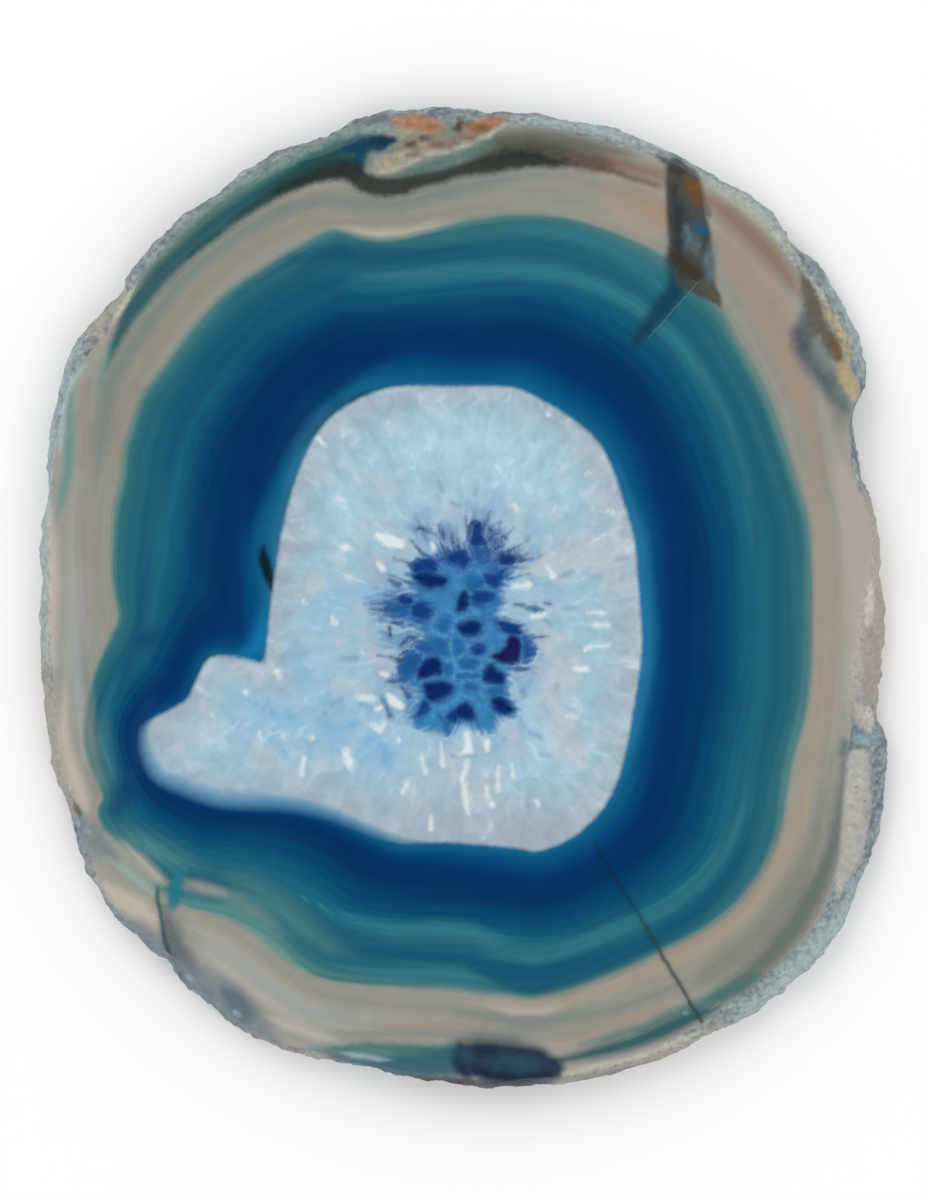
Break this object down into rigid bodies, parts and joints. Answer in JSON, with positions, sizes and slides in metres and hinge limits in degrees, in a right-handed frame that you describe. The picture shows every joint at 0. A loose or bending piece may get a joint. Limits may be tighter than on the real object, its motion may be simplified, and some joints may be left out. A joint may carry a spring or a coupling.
{
  "type": "agate slice",
  "caption": "Flat polished slice of blue-dyed agate, bands round a pale quartz middle with a crystal-lined hollow, and a rough rind round the rim.",
  "frame": {"origin": "on the underside, below the middle of the outline", "axes": "+Z out of the polished show face, +Y along the longer side, +X to the right as seen from above"},
  "size_m": [0.1036, 0.12, 0.006],
  "materials": {
    "agate": "blue-dyed banded chalcedony and quartz, polished faces with a rough grey-blue rind",
    "druse": "natural faces of small blue-dyed quartz crystals"
  },
  "bodies": {
    "root": {"agate_slice": "agate", "druse_crystals": "druse"}
  },
  "joints": []
}
